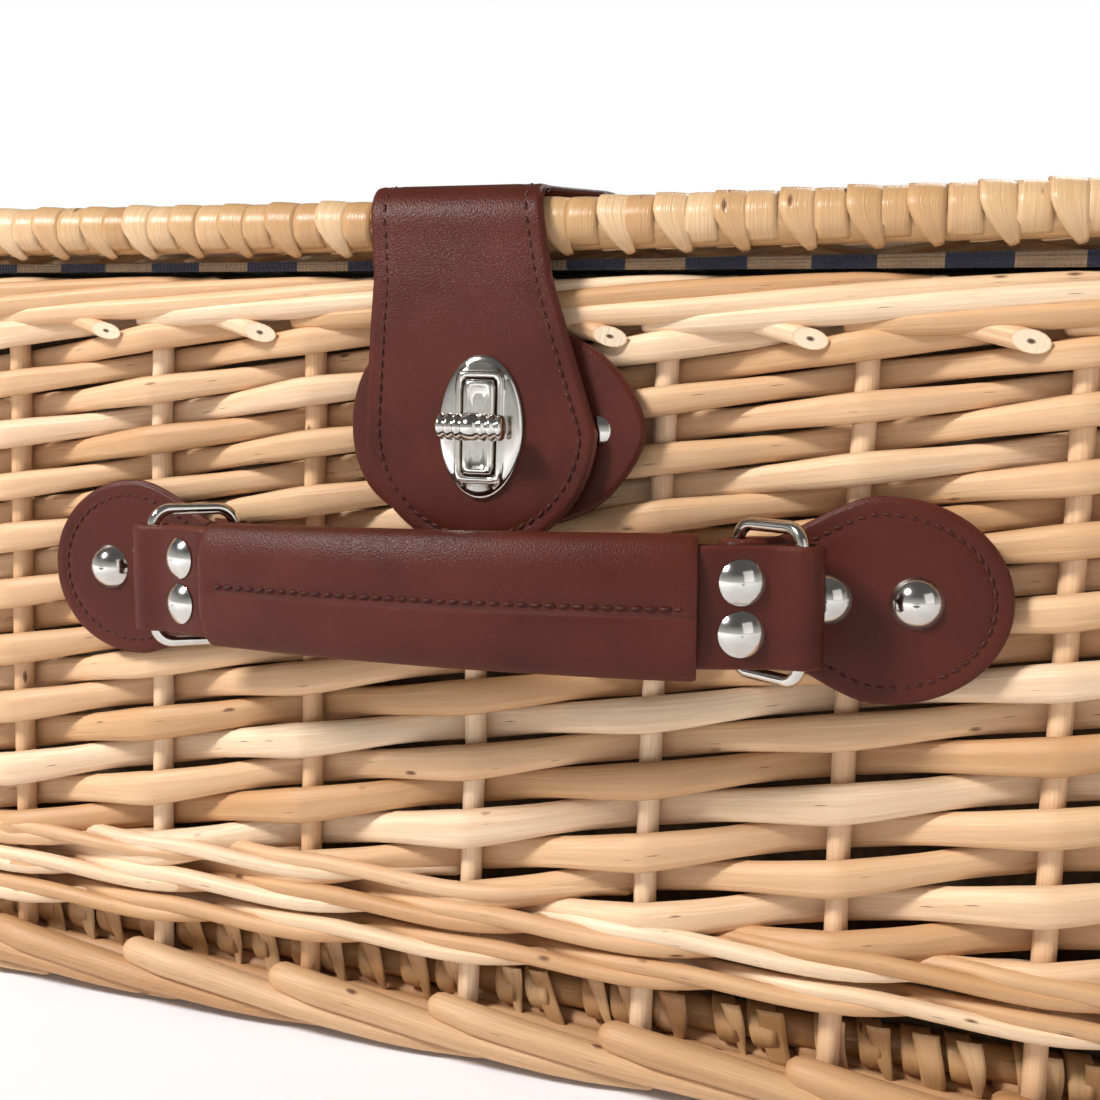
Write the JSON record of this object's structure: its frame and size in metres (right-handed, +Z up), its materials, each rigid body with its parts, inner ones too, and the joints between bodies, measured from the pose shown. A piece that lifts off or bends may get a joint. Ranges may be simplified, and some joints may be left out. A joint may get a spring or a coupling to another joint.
{
  "type": "wicker picnic basket",
  "caption": "Woven willow picnic hamper with a hinged lid on leather straps, a turn-lock clasp strap and a leather carry handle on wire rings",
  "frame": {"origin": "under the middle of the hamper's box, on the surface it stands on", "axes": "+X to the hamper's right as seen from the front, -Y out of the front with the handle, +Z up"},
  "size_m": [0.464, 0.3462, 0.2021],
  "materials": {
    "willow": "split and whole willow, matt",
    "leather": "reddish brown, matt",
    "nickel": "bright nickel plate",
    "cloth": "woven check",
    "core": "dense filler"
  },
  "bodies": {
    "basket": {"foot_border": "willow", "base_frame": "willow", "base_panel": "willow", "base_sticks": "willow", "wall_stakes": "willow", "corner_posts": "willow", "lower_wale": "willow", "woven_wall_front": "willow", "woven_wall_back": "willow", "woven_wall_left": "willow", "woven_wall_right": "willow", "top_border": "willow", "body_lining": "cloth", "handle_patch_left": "leather", "handle_patch_right": "leather", "patch_rivets": "nickel", "clasp_patch": "leather", "clasp_patch_rivets": "nickel", "lock_base_plate": "nickel", "lock_lug": "nickel", "hinge_strap_left_lower": "leather", "hinge_strap_right_lower": "leather", "hinge_rivets_lower": "nickel", "front_washers": "nickel", "back_washers": "nickel"},
    "lid": {"lid_frame": "willow", "lid_rim_wrap": "willow", "lid_panel": "willow", "lid_sticks": "willow", "lid_lining": "cloth", "clasp_strap_top": "leather", "clasp_strap_rivets": "nickel", "hinge_strap_left_upper": "leather", "hinge_strap_right_upper": "leather", "hinge_rivets_upper": "nickel"},
    "clasp_flap": {"clasp_flap": "leather", "slot_plate": "nickel"},
    "turn_knob": {"turn_knob": "nickel"},
    "ring_left": {"ring_left": "nickel"},
    "ring_right": {"ring_right": "nickel"},
    "handle_end_left": {"handle_end_left": "leather", "handle_end_rivets_left": "nickel"},
    "handle_end_right": {"handle_end_right": "leather", "handle_end_rivets_right": "nickel"},
    "grip": {"handle_sleeve": "leather", "handle_core": "core"}
  },
  "joints": [
    {"name": "lid_hinge", "type": "hinge", "parent": "basket", "child": "lid", "pos_m": [0, 0.17185, 0.1836], "axis": [-1, 0, 0], "range_deg": [0, 100]},
    {"name": "flap_lift", "type": "hinge", "parent": "lid", "child": "clasp_flap", "pos_m": [0, -0.1461, 0.20045], "axis": [-1, 0, 0], "range_deg": [0, 110], "deforming": ["clasp_flap"]},
    {"name": "knob_turn", "type": "hinge", "parent": "basket", "child": "turn_knob", "pos_m": [0.0048, -0.15145, 0.1482], "axis": [0, 1, 0], "range_deg": [0, 90]},
    {"name": "handle_pull", "type": "slide", "parent": "basket", "child": "grip", "axis": [0, -1, 0], "range_m": [-0.002, 0.008]},
    {"name": "ring_left_swing", "type": "hinge", "parent": "basket", "child": "ring_left", "pos_m": [-0.05628, -0.14575, 0.11247], "axis": [-0.0262, 0, 0.9997], "range_deg": [-3, 11.5]},
    {"name": "ring_right_swing", "type": "hinge", "parent": "basket", "child": "ring_right", "pos_m": [0.06028, -0.14575, 0.11553], "axis": [-0.0262, 0, 0.9997], "range_deg": [-11.5, 3]},
    {"name": "end_left_flex", "type": "hinge", "parent": "grip", "child": "handle_end_left", "pos_m": [-0.05298, -0.16305, 0.11256], "axis": [-0.0262, 0, 0.9997], "range_deg": [-17, 4.5]},
    {"name": "end_right_flex", "type": "hinge", "parent": "grip", "child": "handle_end_right", "pos_m": [0.05698, -0.16305, 0.11544], "axis": [-0.0262, 0, 0.9997], "range_deg": [-4.5, 17]}
  ],
  "couplings": [
    {"joint": "ring_left_swing", "follows": "handle_pull", "rad_per_m": 24.73},
    {"joint": "ring_right_swing", "follows": "handle_pull", "rad_per_m": -24.73},
    {"joint": "end_left_flex", "follows": "handle_pull", "rad_per_m": -36.13},
    {"joint": "end_right_flex", "follows": "handle_pull", "rad_per_m": 36.13}
  ]
}
